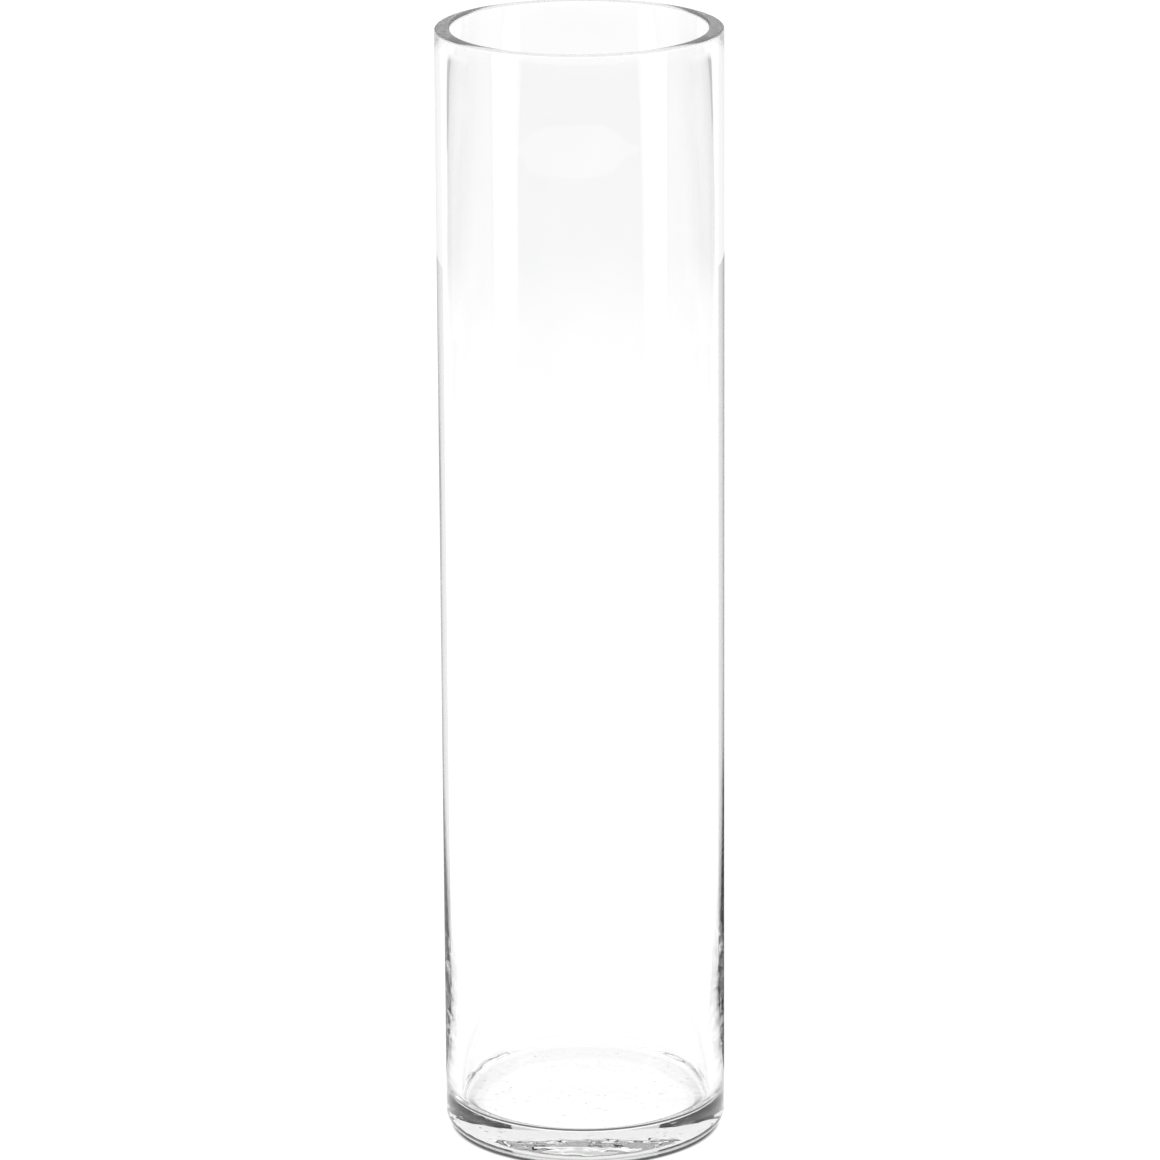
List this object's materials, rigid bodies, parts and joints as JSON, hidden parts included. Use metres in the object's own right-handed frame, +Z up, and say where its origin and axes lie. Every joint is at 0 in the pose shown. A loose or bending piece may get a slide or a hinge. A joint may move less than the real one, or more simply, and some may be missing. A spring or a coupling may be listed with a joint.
{
  "type": "glass cylinder vase",
  "caption": "Tall straight-sided vase of clear blown glass with a thick floor, a rounded heel, a thin wall and a polished open rim.",
  "frame": {"origin": "middle of the underside, on the surface the vase stands on", "axes": "+Z up along the vase's axis, +Y away from the front view, +X to the right"},
  "size_m": [0.1, 0.1, 0.4],
  "materials": {
    "clear_glass": "clear soda-lime glass with a cut and polished rim, faintly wavy from blowing, with small seeds and chill marks in the base"
  },
  "bodies": {
    "root": {"thick_base": "clear_glass", "cylinder_wall": "clear_glass", "polished_rim": "clear_glass"}
  },
  "joints": []
}
